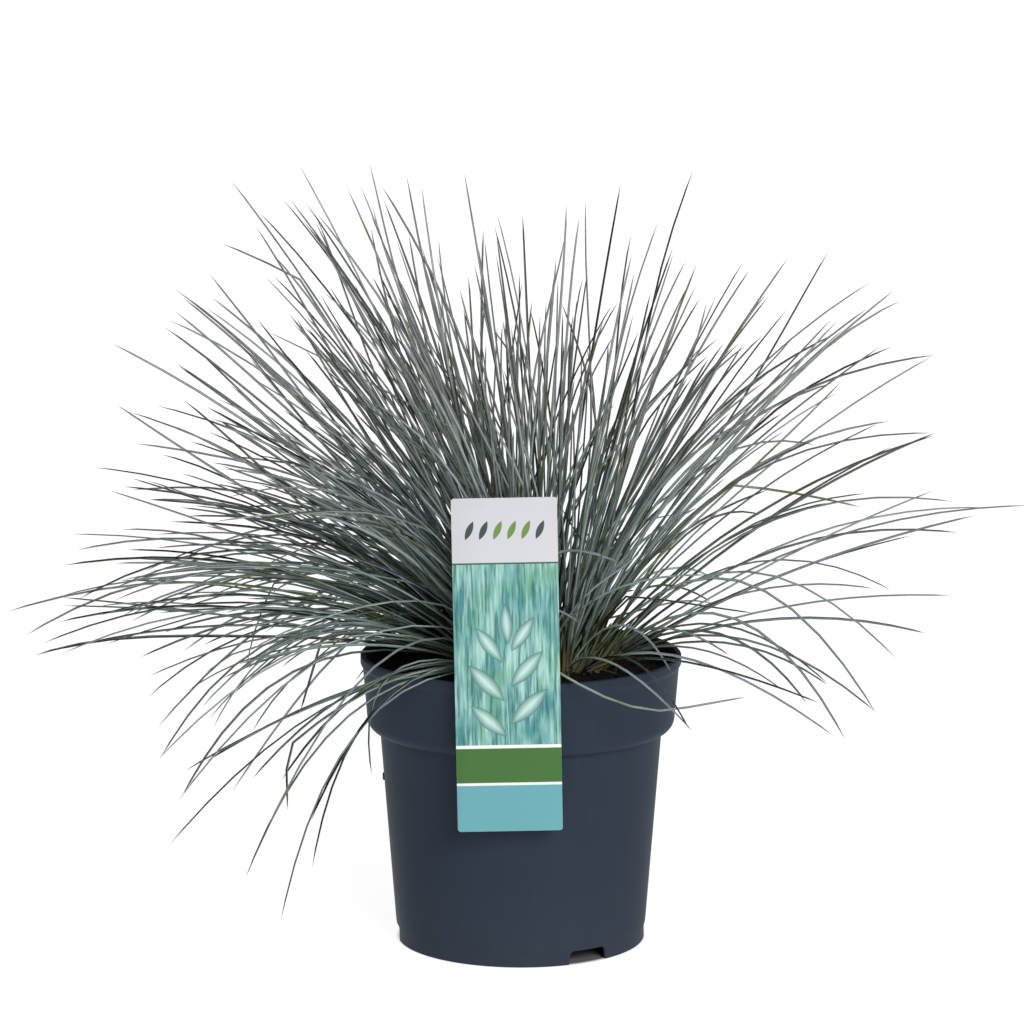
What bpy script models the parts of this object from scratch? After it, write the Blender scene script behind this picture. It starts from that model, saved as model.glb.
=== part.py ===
"""Potted blue fescue clump: a nursery pot, its soil, a plant label and 48 tufts of needle leaves.

Metres, +Z up. The origin is on the pot's axis at the level it stands on. +X is the right-hand side
and -Y the front, where the label stands.
"""

import math
import random

import bmesh
import bpy
from mathutils import Matrix, Vector, noise

MM = 0.001
GAP = 0.3 * MM

# Pot: radii are of the outer surface, heights are above the level it stands on
POT_HEIGHT = 172 * MM
POT_WALL = 1.6 * MM
POT_SIDES = 48
RIM_RADIUS = 95 * MM
RIM_HEIGHT = 6.5 * MM
RIM_PROUD = 1.4 * MM
RIM_EDGE = 0.8 * MM
COLLAR_TAPER = 2.4 * MM
COLLAR_CORNER = 7.6 * MM
COLLAR_BASE = 126.8 * MM
BODY_BASE_RADIUS = 74.5 * MM
BODY_BASE = 9.8 * MM
FOOT_RADIUS = 73.7 * MM
FOOT_TOP = 8.6 * MM
FOOT_WALL = 1.8 * MM
FLOOR_BASE = 8.5 * MM
FLOOR_TOP = 10.5 * MM

# Drain notches in the foot, each with a drain hole through the floor beside it
NOTCH_ANGLES = [-57.6, 62.4, 182.4]
NOTCH_WIDTH = 27 * MM
NOTCH_HEIGHT = 8 * MM
NOTCH_DEPTH = 14 * MM
NOTCH_CORNER = 2 * MM
HOLE_RADIUS = 5 * MM
HOLE_PLACE = 58 * MM

# Soil
SOIL_TOP = 164 * MM
SOIL_FALL = 6 * MM
SOIL_SIDES = 32
SOIL_LUMP = 2.5 * MM
SOIL_LUMP_SCALE = 45
SOIL_RINGS = [0.86, 0.7, 0.56, 0.38]

# Label: a card in front of the rim, with a flat stem that goes down inside the pot
CARD_WIDTH = 60 * MM
CARD_HEIGHT = 193 * MM
CARD_THICKNESS = 0.8 * MM
CARD_CORNER = 1.8 * MM
CARD_CENTRE = Vector((-7.8 * MM, 0, 183.5 * MM))
CARD_TILT = math.radians(-1.1)
STEM_WIDTH = 18 * MM
STEM_THICKNESS = 0.8 * MM
STEM_JOIN_TOP = 272 * MM
STEM_JOIN_BASE = 262 * MM
STEM_BASE = 134 * MM
STEM_STANDOFF = 8 * MM

# Crown: rings of tufts, each with its radius and the angle of its first tuft in degrees.
# A tuft's longest leaf reaches so far out from the crown's centre, and its tip is so high.
CROWN_CENTRE = Vector((12 * MM, 8 * MM, 0))
LEAN_TO_LEFT = 12
SHEATH_RADIUS = 3.9 * MM
SHEATH_TOP_RADIUS = 3.1 * MM
SHEATH_LENGTH = 14 * MM
RINGS = [
    {
        "radius": 5.8 * MM,
        "first": 100,
        "reach": [30, 53, 50],
        "tip_height": [429, 458, 451],
    },
    {
        "radius": 16 * MM,
        "first": 10,
        "reach": [150, 160, 130, 95, 144, 122, 70, 60, 93],
        "tip_height": [403, 398, 407, 407, 459, 451, 418, 400, 414],
    },
    {
        "radius": 27 * MM,
        "first": 0,
        "reach": [230, 249, 245, 205, 210, 155, 216, 217, 251, 225, 270, 110, 100, 265, 250],
        "tip_height": [348, 374, 378, 359, 366, 387, 443, 379, 360, 393, 350, 400, 385, 330, 318],
    },
    {
        "radius": 38 * MM,
        "first": 0,
        "reach": [
            288, 293, 300, 232, 210, 208, 222, 264, 302, 294, 291,
            314, 291, 261, 252, 190, 165, 190, 168, 181, 206,
        ],
        "tip_height": [
            259, 241, 172, 178, 190, 196, 200, 199, 235, 266, 198,
            202, 190, 139, 83, 402, 388, 330, 156, 172, 150,
        ],
    },
]

# Leaves of one tuft: degrees outward and sideways of the longest one, and the share of its length
LEAF_SPREADS = [(0, 0, 1), (-2, 6, 0.84), (-8, 0, 0.9), (-2, -6, 0.78)]
SPREAD_JITTER = 1.2
LENGTH_JITTER = 0.05
LEAF_STATIONS = [0.07, 0.28, 0.54, 0.8]
LEAF_WIDTHS = [0.62, 0.5, 0.42, 0.3]
SEED = 7

COLOURS = {
    "pot": ((0.037, 0.047, 0.061), 0.5),
    "soil": ((0.02, 0.016, 0.013), 0.95),
    "label": ((0.31, 0.52, 0.46), 0.35),
    "leaf": ((0.15, 0.19, 0.19), 0.55),
}


def clear_scene():
    for obj in list(bpy.data.objects):
        bpy.data.objects.remove(obj, do_unlink=True)


def make_collection(name):
    collection = bpy.data.collections.new(name)
    bpy.context.scene.collection.children.link(collection)
    return collection


def make_material(name):
    colour, roughness = COLOURS[name]
    material = bpy.data.materials.new(name)
    material.use_nodes = True
    shader = material.node_tree.nodes["Principled BSDF"]
    shader.inputs["Base Color"].default_value = (*colour, 1)
    shader.inputs["Roughness"].default_value = roughness
    shader.inputs["Metallic"].default_value = 0
    return material


def add_object(name, mesh, collection, material):
    obj = bpy.data.objects.new(name, mesh)
    collection.objects.link(obj)
    mesh.materials.append(material)
    return obj


def mesh_from(bm, name):
    bmesh.ops.recalc_face_normals(bm, faces=bm.faces[:])
    mesh = bpy.data.meshes.new(name)
    bm.to_mesh(mesh)
    bm.free()
    return mesh


def shade_round(mesh):
    mesh.shade_smooth()
    mesh.set_sharp_from_angle(angle=math.radians(40))


def arc(centre, radius, start, end, steps):
    """Points of an arc about centre, with the two ends left out."""
    angles = [start + (end - start) * i / steps for i in range(1, steps)]
    return [
        (centre[0] + radius * math.cos(math.radians(a)), centre[1] + radius * math.sin(math.radians(a)))
        for a in angles
    ]


def turned(name, profile, sides, collection, material):
    """An object made by turning a profile of (radius, height) points about Z."""
    bm = bmesh.new()
    points = [bm.verts.new((radius, 0, height)) for radius, height in profile]
    for lower, upper in zip(points, points[1:]):
        bm.edges.new((lower, upper))
    mesh = bpy.data.meshes.new(name)
    bm.to_mesh(mesh)
    bm.free()
    obj = add_object(name, mesh, collection, material)
    screw = obj.modifiers.new("turn", "SCREW")
    screw.axis = "Z"
    screw.steps = sides
    screw.render_steps = sides
    screw.use_merge_vertices = True
    screw.merge_threshold = 0.00001
    screw.use_smooth_shade = True
    return obj


def collar_corner():
    """Centre of the collar's rounded lower corner and the collar's radius above it."""
    radius = RIM_RADIUS - RIM_PROUD - COLLAR_TAPER
    return (radius - COLLAR_CORNER, COLLAR_BASE + COLLAR_CORNER), radius


def pot_outside():
    corner, collar_radius = collar_corner()
    return [
        (RIM_RADIUS - RIM_EDGE, POT_HEIGHT),
        (RIM_RADIUS, POT_HEIGHT - RIM_EDGE),
        (RIM_RADIUS, POT_HEIGHT - RIM_HEIGHT),
        (RIM_RADIUS - RIM_PROUD, POT_HEIGHT - RIM_HEIGHT - RIM_EDGE),
        (collar_radius, corner[1]),
        *arc(corner, COLLAR_CORNER, 0, -90, 4),
        (corner[0], COLLAR_BASE),
        (BODY_BASE_RADIUS, BODY_BASE),
        (FOOT_RADIUS, FOOT_TOP),
        (FOOT_RADIUS, 0),
        (FOOT_RADIUS - FOOT_WALL, 0),
        (FOOT_RADIUS - FOOT_WALL, FLOOR_BASE),
        (0, FLOOR_BASE),
    ]


def pot_inside(clearance=0.0, top=POT_HEIGHT):
    """The hollow's outline from its floor to a height, drawn in by a clearance."""
    corner, collar_radius = collar_corner()
    inset = POT_WALL + clearance
    taper = COLLAR_TAPER / (POT_HEIGHT - RIM_HEIGHT - corner[1])
    mouth = collar_radius + taper * (top - corner[1]) - inset
    return [
        (BODY_BASE_RADIUS - inset, FLOOR_TOP + clearance),
        (corner[0] - inset, COLLAR_BASE + POT_WALL),
        (corner[0], COLLAR_BASE + inset),
        *arc(corner, COLLAR_CORNER - inset, -90, 0, 3),
        (collar_radius - inset, corner[1]),
        (mouth, top),
    ]


def make_notch_cutter(angle, cutters):
    bm = bmesh.new()
    bmesh.ops.create_cube(bm, size=1)
    size = Matrix.Diagonal((NOTCH_DEPTH, NOTCH_WIDTH, 2 * NOTCH_HEIGHT, 1))
    bmesh.ops.transform(bm, matrix=size, verts=bm.verts)
    top_edges = [
        edge for edge in bm.edges
        if all(vert.co.z > 0 for vert in edge.verts) and edge.verts[0].co.y * edge.verts[1].co.y > 0
    ]
    bmesh.ops.bevel(bm, geom=top_edges, offset=NOTCH_CORNER, segments=3, profile=0.5, affect="EDGES")
    place = Matrix.Rotation(math.radians(angle), 4, "Z") @ Matrix.Translation((FOOT_RADIUS, 0, 0))
    bmesh.ops.transform(bm, matrix=place, verts=bm.verts)
    cutter = bpy.data.objects.new("drain notch cutter", mesh_from(bm, "drain notch cutter"))
    add_cutter(cutter, cutters)


def make_hole_cutter(angle, cutters):
    bm = bmesh.new()
    place = Matrix.Rotation(math.radians(angle), 4, "Z") @ Matrix.Translation((HOLE_PLACE, 0, FLOOR_BASE))
    bmesh.ops.create_cone(
        bm, cap_ends=True, segments=12, radius1=HOLE_RADIUS, radius2=HOLE_RADIUS,
        depth=2 * FLOOR_TOP, matrix=place,
    )
    cutter = bpy.data.objects.new("drain hole cutter", mesh_from(bm, "drain hole cutter"))
    add_cutter(cutter, cutters)


def add_cutter(cutter, cutters):
    cutter.hide_render = True
    cutter.display_type = "WIRE"
    cutters.objects.link(cutter)


def cut_with(obj, cutters):
    boolean = obj.modifiers.new("cut", "BOOLEAN")
    boolean.operation = "DIFFERENCE"
    boolean.solver = "EXACT"
    boolean.operand_type = "COLLECTION"
    boolean.collection = cutters


def make_pot(parts, cutters):
    profile = [(0, FLOOR_TOP), *pot_inside(), *pot_outside()]
    pot = turned("pot", profile, POT_SIDES, parts, make_material("pot"))
    for angle in NOTCH_ANGLES:
        make_notch_cutter(angle, cutters)
        make_hole_cutter(angle, cutters)
    cut_with(pot, cutters)
    return pot


def soil_mound(place, rim):
    """How far the soil lies above its level at the wall: flat under the crown, uneven around it."""
    from_crown = (place.xy - CROWN_CENTRE.xy).length
    crown_edge = RINGS[-1]["radius"] + 2 * SHEATH_RADIUS
    share = min(1, max(0, (from_crown - crown_edge) / (rim - crown_edge)))
    lump = SOIL_LUMP * noise.noise(place * SOIL_LUMP_SCALE)
    return SOIL_FALL + (lump - SOIL_FALL) * math.sin(share * math.pi / 2)


def make_soil(parts, cutters):
    level = SOIL_TOP - SOIL_FALL
    wall = pot_inside(clearance=GAP + 0.2 * MM, top=level)
    rim = wall[-1][0]
    profile = [(0, level)]
    profile += [(rim * share, level) for share in reversed(SOIL_RINGS)]
    profile += list(reversed(wall))
    profile.append((0, wall[0][1]))
    draft = turned("soil draft", profile, SOIL_SIDES, parts, make_material("soil"))
    depsgraph = bpy.context.evaluated_depsgraph_get()
    mesh = bpy.data.meshes.new_from_object(draft.evaluated_get(depsgraph))
    mesh.name = "soil"
    for vert in mesh.vertices:
        if vert.co.z > level - GAP:
            vert.co.z += soil_mound(vert.co, rim)
    soil = bpy.data.objects.new("soil", mesh)
    parts.objects.link(soil)
    bpy.data.objects.remove(draft, do_unlink=True)
    cut_with(soil, cutters)
    return soil


def label_matrix():
    """Where the label's own frame, with its card's middle at the origin, stands."""
    y = -RIM_RADIUS - GAP - CARD_THICKNESS / 2
    return Matrix.Translation((CARD_CENTRE.x, y, CARD_CENTRE.z)) @ Matrix.Rotation(CARD_TILT, 4, "Y")


def pulled_out(bm, face, offset):
    """Extrude one face by an offset and give the new face."""
    result = bmesh.ops.extrude_face_region(bm, geom=[face])
    moved = [item for item in result["geom"] if isinstance(item, bmesh.types.BMVert)]
    bmesh.ops.translate(bm, verts=moved, vec=offset)
    bmesh.ops.delete(bm, geom=[face], context="FACES_ONLY")
    return next(item for item in result["geom"] if isinstance(item, bmesh.types.BMFace))


def face_nearest(bm, place, normal):
    facing = [face for face in bm.faces if face.normal.dot(normal) > 0.9]
    return min(facing, key=lambda face: (face.calc_center_median() - place).length)


def split_at(bm, place, normal):
    geom = bm.verts[:] + bm.edges[:] + bm.faces[:]
    bmesh.ops.bisect_plane(bm, geom=geom, plane_co=place, plane_no=normal)


def make_label(parts):
    bm = bmesh.new()
    bmesh.ops.create_cube(bm, size=1)
    size = Matrix.Diagonal((CARD_WIDTH, CARD_THICKNESS, CARD_HEIGHT, 1))
    bmesh.ops.transform(bm, matrix=size, verts=bm.verts)
    corners = [edge for edge in bm.edges if abs(edge.verts[0].co.y - edge.verts[1].co.y) > GAP]
    bmesh.ops.bevel(bm, geom=corners, offset=CARD_CORNER, segments=2, profile=0.5, affect="EDGES")
    join_top = STEM_JOIN_TOP - CARD_CENTRE.z
    join_base = STEM_JOIN_BASE - CARD_CENTRE.z
    for side in (-1, 1):
        split_at(bm, Vector((side * STEM_WIDTH / 2, 0, 0)), Vector((1, 0, 0)))
    for height in (join_top, join_base):
        split_at(bm, Vector((0, 0, height)), Vector((0, 0, 1)))
    bm.normal_update()
    back = Vector((0, 1, 0))
    down = Vector((0, 0, -1))
    join = face_nearest(bm, Vector((0, CARD_THICKNESS / 2, (join_top + join_base) / 2)), back)
    spacer = pulled_out(bm, join, back * STEM_STANDOFF)
    heel = pulled_out(bm, spacer, back * STEM_THICKNESS)
    bm.normal_update()
    heel_centre = heel.calc_center_median() - back * STEM_THICKNESS / 2
    underside = face_nearest(bm, Vector((0, heel_centre.y, join_base)), down)
    stem = pulled_out(bm, underside, down * (STEM_JOIN_BASE - STEM_BASE - STEM_WIDTH / 2))
    point = pulled_out(bm, stem, down * STEM_WIDTH / 2)
    for vert in point.verts:
        vert.co.x *= 0.35
    label = add_object("label", mesh_from(bm, "label"), parts, make_material("label"))
    label.matrix_world = label_matrix()
    return label


def make_stem_slot(cutters):
    """The slot that the label's stem has pushed in the soil."""
    clearance = GAP + 0.1 * MM
    stem_y = CARD_THICKNESS / 2 + STEM_STANDOFF + STEM_THICKNESS / 2
    height = POT_HEIGHT - STEM_BASE + 2 * clearance
    bm = bmesh.new()
    bmesh.ops.create_cube(bm, size=1)
    size = Matrix.Diagonal((STEM_WIDTH + 2 * clearance, STEM_THICKNESS + 2 * clearance, height, 1))
    centre = Vector((0, stem_y, (POT_HEIGHT + STEM_BASE) / 2 - CARD_CENTRE.z))
    bmesh.ops.transform(bm, matrix=label_matrix() @ Matrix.Translation(centre) @ size, verts=bm.verts)
    slot = bpy.data.objects.new("stem slot cutter", mesh_from(bm, "stem slot cutter"))
    add_cutter(slot, cutters)


def direction(lean, turn):
    """A unit vector that leans so many degrees from upright, towards a compass angle from +X."""
    lean = math.radians(lean)
    turn = math.radians(turn)
    return Vector((math.sin(lean) * math.cos(turn), math.sin(lean) * math.sin(turn), math.cos(lean)))


def start_lean(lean):
    """A leaf leaves its sheath steeper than the line to its tip; one that droops must clear the rim."""
    if lean > 90:
        return 58 - 0.45 * (lean - 90)
    return min(0.72 * lean, 58)


class Leaf:
    """A leaf's middle line: an arch from its root to its tip, as a quadratic curve."""

    def __init__(self, root, tip):
        line = tip - root
        lean = math.degrees(line.angle(Vector((0, 0, 1))))
        turn = math.degrees(math.atan2(line.y, line.x))
        shoulder = line.length * (0.44 + 0.15 * lean / 110)
        self.root = root
        self.bend = root + direction(start_lean(lean), turn) * shoulder
        self.tip = tip

    def point(self, t):
        return self.root * (1 - t) ** 2 + self.bend * 2 * t * (1 - t) + self.tip * t ** 2

    def tangent(self, t):
        return ((self.bend - self.root) * (1 - t) + (self.tip - self.bend) * t).normalized()


def tufts():
    """Each tuft's root, its compass angle and its longest leaf's tip."""
    for ring in RINGS:
        count = len(ring["reach"])
        for index, (reach, height) in enumerate(zip(ring["reach"], ring["tip_height"])):
            place = ring["first"] + 360 * index / count
            turn = place + LEAN_TO_LEFT * math.sin(math.radians(place))
            root = CROWN_CENTRE + direction(90, place) * ring["radius"]
            tip = CROWN_CENTRE + direction(90, turn) * reach * MM
            root.z = SOIL_TOP + GAP
            tip.z = height * MM
            yield root, turn, tip


def spread_tip(root, tip, spread, chance):
    """The tip of a tuft's other leaf, swung from its longest leaf's tip."""
    outward, sideways, share = spread
    line = tip - root
    lean = math.degrees(line.angle(Vector((0, 0, 1))))
    turn = math.degrees(math.atan2(line.y, line.x))
    if share < 1:
        outward += chance.uniform(-SPREAD_JITTER, SPREAD_JITTER)
        sideways += chance.uniform(-SPREAD_JITTER, SPREAD_JITTER)
        share += chance.uniform(-LENGTH_JITTER, LENGTH_JITTER)
    sideways = sideways / max(0.45, math.sin(math.radians(lean)))
    return root + direction(lean + outward, turn + sideways) * line.length * share


def grow_leaf(bm, wedge, leaf, tangent):
    """Extrude one wedge of a sheath along a leaf, ring by ring, to a point."""
    offsets = [vert.co - wedge.calc_center_median() for vert in wedge.verts]
    for station, width in zip(LEAF_STATIONS, LEAF_WIDTHS):
        wedge = bmesh.ops.extrude_discrete_faces(bm, faces=[wedge])["faces"][0]
        turned_to = leaf.tangent(station)
        turn = tangent.rotation_difference(turned_to)
        tangent = turned_to
        for offset in offsets:
            offset.rotate(turn)
        for vert, offset in zip(wedge.verts, offsets):
            vert.co = leaf.point(station) + offset * width
    end = bmesh.ops.extrude_discrete_faces(bm, faces=[wedge])["faces"][0]
    bmesh.ops.pointmerge(bm, verts=end.verts[:], merge_co=leaf.tip)


def make_tuft(name, root, turn, tip, parts, material, chance):
    longest = Leaf(root, tip)
    sheath_share = SHEATH_LENGTH / (2 * (longest.bend - root).length)
    sheath_end = longest.point(sheath_share)
    tangent = longest.tangent(sheath_share)
    sides = len(LEAF_SPREADS)
    bm = bmesh.new()
    bmesh.ops.create_cone(
        bm, cap_ends=True, segments=sides, radius1=SHEATH_RADIUS, radius2=SHEATH_TOP_RADIUS,
        depth=SHEATH_LENGTH, matrix=Matrix.Rotation(math.radians(turn - 180 / sides), 4, "Z"),
    )
    bm.normal_update()
    top = max(bm.faces, key=lambda face: face.calc_center_median().z)
    tilt = Vector((0, 0, 1)).rotation_difference(tangent)
    for vert in bm.verts:
        if vert in top.verts:
            vert.co = sheath_end + tilt @ Vector((vert.co.x, vert.co.y, 0))
        else:
            vert.co = root + Vector((vert.co.x, vert.co.y, 0))
    wedges = bmesh.ops.poke(bm, faces=[top])["faces"]
    for wedge in wedges:
        away = tilt.inverted() @ (wedge.calc_center_median() - sheath_end)
        quarter = round((math.degrees(math.atan2(away.y, away.x)) - turn) / (360 / sides)) % sides
        leaf_root = wedge.calc_center_median()
        leaf_tip = spread_tip(root, tip, LEAF_SPREADS[quarter], chance)
        grow_leaf(bm, wedge, Leaf(leaf_root, leaf_tip), tangent)
    mesh = mesh_from(bm, name)
    shade_round(mesh)
    return add_object(name, mesh, parts, material)


def make_tufts(parts):
    material = make_material("leaf")
    chance = random.Random(SEED)
    for number, (root, turn, tip) in enumerate(tufts(), start=1):
        make_tuft(f"tuft_{number:02d}", root, turn, tip, parts, material, chance)


def build():
    clear_scene()
    parts = make_collection("potted blue fescue clump")
    pot_cutters = make_collection("pot cutters")
    soil_cutters = make_collection("soil cutters")
    make_pot(parts, pot_cutters)
    make_label(parts)
    make_stem_slot(soil_cutters)
    make_soil(parts, soil_cutters)
    make_tufts(parts)


build()
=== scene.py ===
"""Potted blue fescue clump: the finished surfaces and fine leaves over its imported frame."""

import math
import random

import bmesh
import bpy
import numpy as np
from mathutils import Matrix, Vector, noise


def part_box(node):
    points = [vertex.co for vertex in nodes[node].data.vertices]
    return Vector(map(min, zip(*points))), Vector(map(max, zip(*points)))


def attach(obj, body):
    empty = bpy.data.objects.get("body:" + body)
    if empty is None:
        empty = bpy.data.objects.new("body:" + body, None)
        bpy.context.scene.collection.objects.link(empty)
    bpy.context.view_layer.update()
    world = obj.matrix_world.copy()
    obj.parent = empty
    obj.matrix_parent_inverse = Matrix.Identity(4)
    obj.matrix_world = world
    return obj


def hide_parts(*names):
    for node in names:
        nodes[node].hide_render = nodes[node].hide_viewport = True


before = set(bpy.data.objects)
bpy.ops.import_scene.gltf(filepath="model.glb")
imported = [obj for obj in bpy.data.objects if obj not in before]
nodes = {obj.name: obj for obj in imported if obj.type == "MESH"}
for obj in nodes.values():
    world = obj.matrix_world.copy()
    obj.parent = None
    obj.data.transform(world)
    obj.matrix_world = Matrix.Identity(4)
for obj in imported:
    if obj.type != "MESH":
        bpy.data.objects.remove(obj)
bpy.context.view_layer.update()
MM = 0.001


# The nursery pot
# One piece of injection-moulded polypropylene: a tapered body on a foot ring, a deep collar with a
# rounded lower corner and a small lip around the rim. Three drain notches are moulded in the foot.
_, pot_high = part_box("pot")
RIM_RADIUS = pot_high[0]
POT_HEIGHT = pot_high[2]
POT_SIDES = 160
POT_WALL = 1.6 * MM
LIP_HEIGHT = 6.5 * MM
LIP_PROUD = 1.4 * MM
LIP_ROUND = 0.8 * MM
LIP_UNDER = 1.9 * MM
COLLAR_RADIUS = RIM_RADIUS - LIP_PROUD
COLLAR_TAPER = 2.4 * MM
COLLAR_BASE = 126.8 * MM
COLLAR_CORNER = 7.6 * MM
BODY_BASE_RADIUS = 74.5 * MM
BODY_BASE = 9.8 * MM
FOOT_RADIUS = 73.7 * MM
FOOT_TOP = 8.6 * MM
FOOT_WALL = 1.8 * MM
FLOOR_BASE = 8.5 * MM
FLOOR_TOP = 10.5 * MM
FLOOR_FILLET = 1.5 * MM
EDGE_ROUND = 0.5 * MM
EASE = 0.3 * MM
NOTCH_ANGLES = [-57.6, 62.4, 182.4]
NOTCH_SIZE = (14 * MM, 27 * MM, 8 * MM)
NOTCH_CORNER = 2.5 * MM
NOTCH_DRAFT = 0.88
DRAIN_RADIUS = 5 * MM
DRAIN_PLACE = 58 * MM


def linear(hex_colour):
    """A linear RGBA colour from sRGB hex digits."""
    channels = [int(hex_colour[i:i + 2], 16) / 255 for i in (1, 3, 5)]
    return (*[c / 12.92 if c <= 0.04045 else ((c + 0.055) / 1.055) ** 2.4 for c in channels], 1)


def add_node(tree, kind, inputs=None, **settings):
    """Add a node, with its settings, and with each input either set or linked."""
    node = tree.nodes.new("ShaderNode" + kind)
    for name, value in settings.items():
        setattr(node, name, value)
    for name, value in (inputs or {}).items():
        if isinstance(value, bpy.types.NodeSocket):
            tree.links.new(value, node.inputs[name])
        else:
            node.inputs[name].default_value = value
    return node


def start_finish(name, **shader_values):
    """A new material, with values set on its Principled shader's own sockets."""
    finish = bpy.data.materials.new(name)
    finish.use_nodes = True
    shader = finish.node_tree.nodes["Principled BSDF"]
    for socket, value in shader_values.items():
        shader.inputs[socket.replace("_", " ")].default_value = value
    return finish, finish.node_tree, shader


def mix_colours(tree, share, first, second):
    """A colour mixed from two by a share, each a socket or a value."""
    return add_node(tree, "Mix", {0: share, 6: first, 7: second}, data_type="RGBA").outputs[2]


def calculate(tree, operation, first, second=0.0, third=0.0):
    """A Math node's result."""
    return add_node(tree, "Math", {0: first, 1: second, 2: third}, operation=operation).outputs[0]


def grade(tree, value, low, high, to_low=0.0, to_high=1.0):
    """A value carried from one range to another, and held at its ends."""
    return add_node(tree, "MapRange", {
        "Value": value, "From Min": low, "From Max": high, "To Min": to_low, "To Max": to_high}).outputs[0]


def pick(test, kind="VERT"):
    """In edit mode, select only the vertices, edges or faces that pass a test."""
    bpy.ops.mesh.select_mode(type=kind)
    bpy.ops.mesh.select_all(action="DESELECT")
    mesh = bmesh.from_edit_mesh(bpy.context.object.data)
    for item in {"VERT": mesh.verts, "EDGE": mesh.edges, "FACE": mesh.faces}[kind]:
        item.select_set(test(item))
    bmesh.update_edit_mesh(bpy.context.object.data)


def middle(item):
    """The middle of an edge or face."""
    return sum((vert.co for vert in item.verts), Vector()) / len(item.verts)


def settle(piece):
    """Put a piece's place and turn in its mesh, with its object at the origin."""
    bpy.ops.object.select_all(action="DESELECT")
    piece.select_set(True)
    bpy.context.view_layer.objects.active = piece
    bpy.ops.object.transform_apply(location=True, rotation=True, scale=True)


def corner_points(centre, radius, start, end, steps):
    """Points along a rounded corner of a turned outline, its ends included."""
    for step in range(steps + 1):
        angle = math.radians(start + (end - start) * step / steps)
        yield centre[0] + radius * math.cos(angle), centre[1] + radius * math.sin(angle)


def along(start, end, shares):
    """Points at shares of the way from one point of an outline to another."""
    return [(start[0] + (end[0] - start[0]) * share, start[1] + (end[1] - start[1]) * share)
            for share in shares]


def pot_outline():
    """The wall as (radius, height), from the floor up the inside and down the outside. Each sharp step
    is eased by a point on either side."""
    corner = (COLLAR_RADIUS - COLLAR_TAPER - COLLAR_CORNER, COLLAR_BASE + COLLAR_CORNER)
    body_inside = (BODY_BASE_RADIUS - POT_WALL, FLOOR_TOP)
    lip_base = POT_HEIGHT - LIP_HEIGHT
    lip_top = POT_HEIGHT - LIP_ROUND
    return [
        (body_inside[0] - FLOOR_FILLET, FLOOR_TOP),
        (body_inside[0], FLOOR_TOP + FLOOR_FILLET),
        *along(body_inside, (corner[0] - POT_WALL, COLLAR_BASE), (0.25, 0.5, 0.75, 0.99)),
        *corner_points(corner, COLLAR_CORNER - POT_WALL, -88, 0, 8),
        (COLLAR_RADIUS - POT_WALL, lip_base),
        *corner_points((COLLAR_RADIUS - POT_WALL + LIP_ROUND, lip_top), LIP_ROUND, 180, 90, 3),
        *corner_points((RIM_RADIUS - LIP_ROUND, lip_top), LIP_ROUND, 90, 0, 4),
        *corner_points((RIM_RADIUS - LIP_UNDER, lip_base + LIP_UNDER), LIP_UNDER, 0, -50, 5),
        *corner_points((COLLAR_RADIUS + LIP_UNDER, lip_base - 0.6 * LIP_UNDER), LIP_UNDER, 130, 180, 5),
        *corner_points(corner, COLLAR_CORNER, 0, -80, 10),
        (corner[0] + EASE, COLLAR_BASE + EASE / 3),
        *along((corner[0], COLLAR_BASE), (BODY_BASE_RADIUS, BODY_BASE), (0.01, 0.25, 0.5, 0.75, 0.98)),
        (BODY_BASE_RADIUS - EASE / 2, BODY_BASE - EASE * 4 / 3),
        (FOOT_RADIUS + EASE / 2, FOOT_TOP + EASE),
        (FOOT_RADIUS, FOOT_TOP - EASE),
        *corner_points((FOOT_RADIUS - EDGE_ROUND, EDGE_ROUND), EDGE_ROUND, 0, -90, 3),
        (FOOT_RADIUS - FOOT_WALL, 0),
        (FOOT_RADIUS - FOOT_WALL, FLOOR_BASE),
    ]


def model_pot():
    """Start from the floor inside and extrude its edge up the inside and down the outside."""
    outline = pot_outline()
    bpy.ops.object.select_all(action="DESELECT")
    bpy.ops.mesh.primitive_circle_add(
        vertices=POT_SIDES, radius=outline[0][0], fill_type="NGON", location=(0, 0, outline[0][1]))
    pot = bpy.context.object
    pot.name = "pot_body"
    bpy.ops.object.mode_set(mode="EDIT")
    bpy.ops.mesh.select_mode(type="EDGE")
    for (radius, height), (next_radius, next_height) in zip(outline, outline[1:]):
        bpy.ops.mesh.extrude_edges_move(TRANSFORM_OT_translate={"value": (0, 0, next_height - height)})
        bpy.ops.transform.resize(value=(next_radius / radius, next_radius / radius, 1))
    bpy.ops.mesh.edge_face_add()
    bpy.ops.mesh.select_all(action="SELECT")
    bpy.ops.mesh.normals_make_consistent(inside=False)
    bpy.ops.object.mode_set(mode="OBJECT")
    settle(pot)
    return pot


def cut_out(pot, cutter):
    """Cut one modelled shape out of the pot and remove it."""
    settle(cutter)
    bpy.context.view_layer.objects.active = pot
    cut = pot.modifiers.new("cut", "BOOLEAN")
    cut.object = cutter
    cut.operation = "DIFFERENCE"
    cut.solver = "EXACT"
    bpy.ops.object.modifier_apply(modifier=cut.name)
    bpy.data.objects.remove(cutter, do_unlink=True)


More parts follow.
